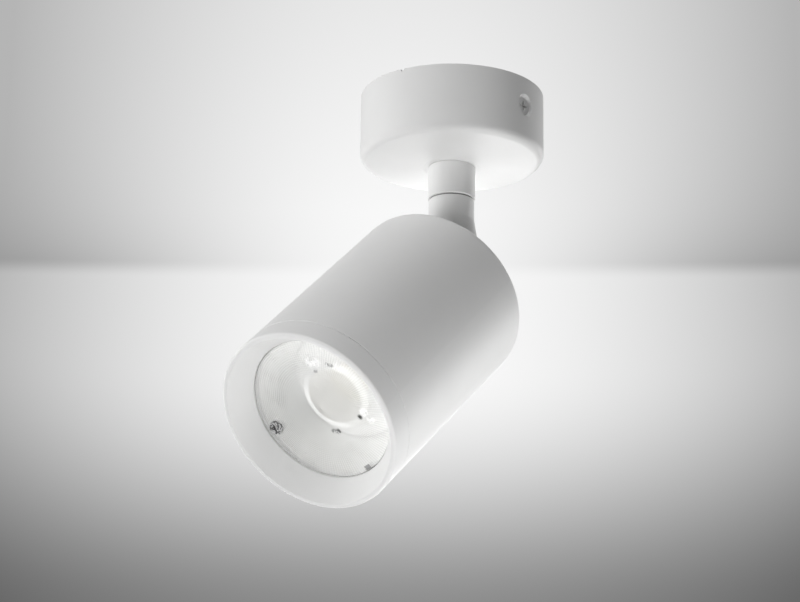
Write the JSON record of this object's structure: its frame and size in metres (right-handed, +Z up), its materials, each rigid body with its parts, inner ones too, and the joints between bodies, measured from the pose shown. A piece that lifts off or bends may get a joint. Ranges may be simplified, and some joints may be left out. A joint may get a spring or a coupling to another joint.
{
  "type": "surface mounted ceiling spotlight",
  "caption": "Cylindrical spotlight head on a swivelling, tilting knuckle under a round ceiling canopy, with a lens recessed in a conical bezel.",
  "frame": {"origin": "centre of the ceiling plane, on the bracket's upper face and on the swivel axis", "axes": "+Z up into the ceiling, along the swivel axis; the head looks down towards -Y at rest; the tilt axis is along X"},
  "size_m": [0.08, 0.1572, 0.1956],
  "materials": {
    "white_coated_steel": "matt white powder coat on steel",
    "white_coated_aluminium": "matt white powder coat on aluminium",
    "zinc_steel": "zinc-plated steel",
    "nickel_screw": "nickel-plated",
    "dark_screw": "blackened steel",
    "brass": "bright brass",
    "cast_alloy": "satin die-cast alloy",
    "bare_aluminium": "satin aluminium",
    "clear_lens": "clear moulded lens with a fine patterned face",
    "white_plastic": "matt moulded white plastic",
    "black_nylon": "matt black nylon",
    "grey_rubber": "matt grey silicone rubber",
    "thermal_silicone": "matt thermal silicone",
    "phosphor": "matt yellow phosphor",
    "insulation_brown": "satin insulation",
    "insulation_blue": "satin insulation",
    "insulation_green_yellow": "satin green and yellow insulation",
    "insulation_white": "satin sheath",
    "insulation_red": "satin insulation",
    "insulation_black": "satin insulation"
  },
  "bodies": {
    "root": {"ceiling_bracket": "zinc_steel", "earth_screw": "brass", "canopy": "white_coated_steel", "canopy_side_screws": "white_coated_steel", "terminal_block": "white_plastic", "terminal_tubes": "brass", "terminal_screws": "dark_screw", "terminal_mount_screw": "nickel_screw", "lead_live": "insulation_brown", "lead_neutral": "insulation_blue", "lead_earth": "insulation_green_yellow", "stem_collar": "white_coated_aluminium", "swivel_spindle": "zinc_steel", "lock_washer": "zinc_steel", "spindle_nut": "zinc_steel", "swivel_washer": "white_plastic"},
    "swivel": {"swivel_arm": "white_coated_aluminium", "swivel_lock_screw": "dark_screw", "pivot_bolt": "nickel_screw", "pivot_spring_washer": "zinc_steel", "pivot_nut": "nickel_screw", "friction_washers": "black_nylon"},
    "head": {"tilt_tongue": "cast_alloy", "tongue_screws": "nickel_screw", "cable_grommet": "grey_rubber", "head_supply_lead": "insulation_white", "head_housing": "white_coated_aluminium", "driver_case": "white_plastic", "driver_lid": "white_plastic", "driver_plate": "zinc_steel", "driver_screws": "nickel_screw", "heat_sink": "bare_aluminium", "thermal_pad": "thermal_silicone", "cob_board": "bare_aluminium", "cob_emitter": "phosphor", "cob_holder": "white_plastic", "cob_holder_screws": "nickel_screw", "lens_holder": "white_plastic", "tir_lens": "clear_lens", "lens_screw": "dark_screw", "bezel_gasket": "grey_rubber", "bezel_ring": "white_coated_aluminium", "led_lead_positive": "insulation_red", "led_lead_negative": "insulation_black"}
  },
  "joints": [
    {"name": "swivel_pan", "type": "hinge", "parent": "root", "child": "swivel", "pos_m": [0, 0, -0.0474], "axis": [0, 0, 1], "range_deg": [-165, 165]},
    {"name": "head_tilt", "type": "hinge", "parent": "swivel", "child": "head", "pos_m": [0, 0, -0.0852], "axis": [-1, 0, 0], "range_deg": [-48.3, 41.7]}
  ]
}
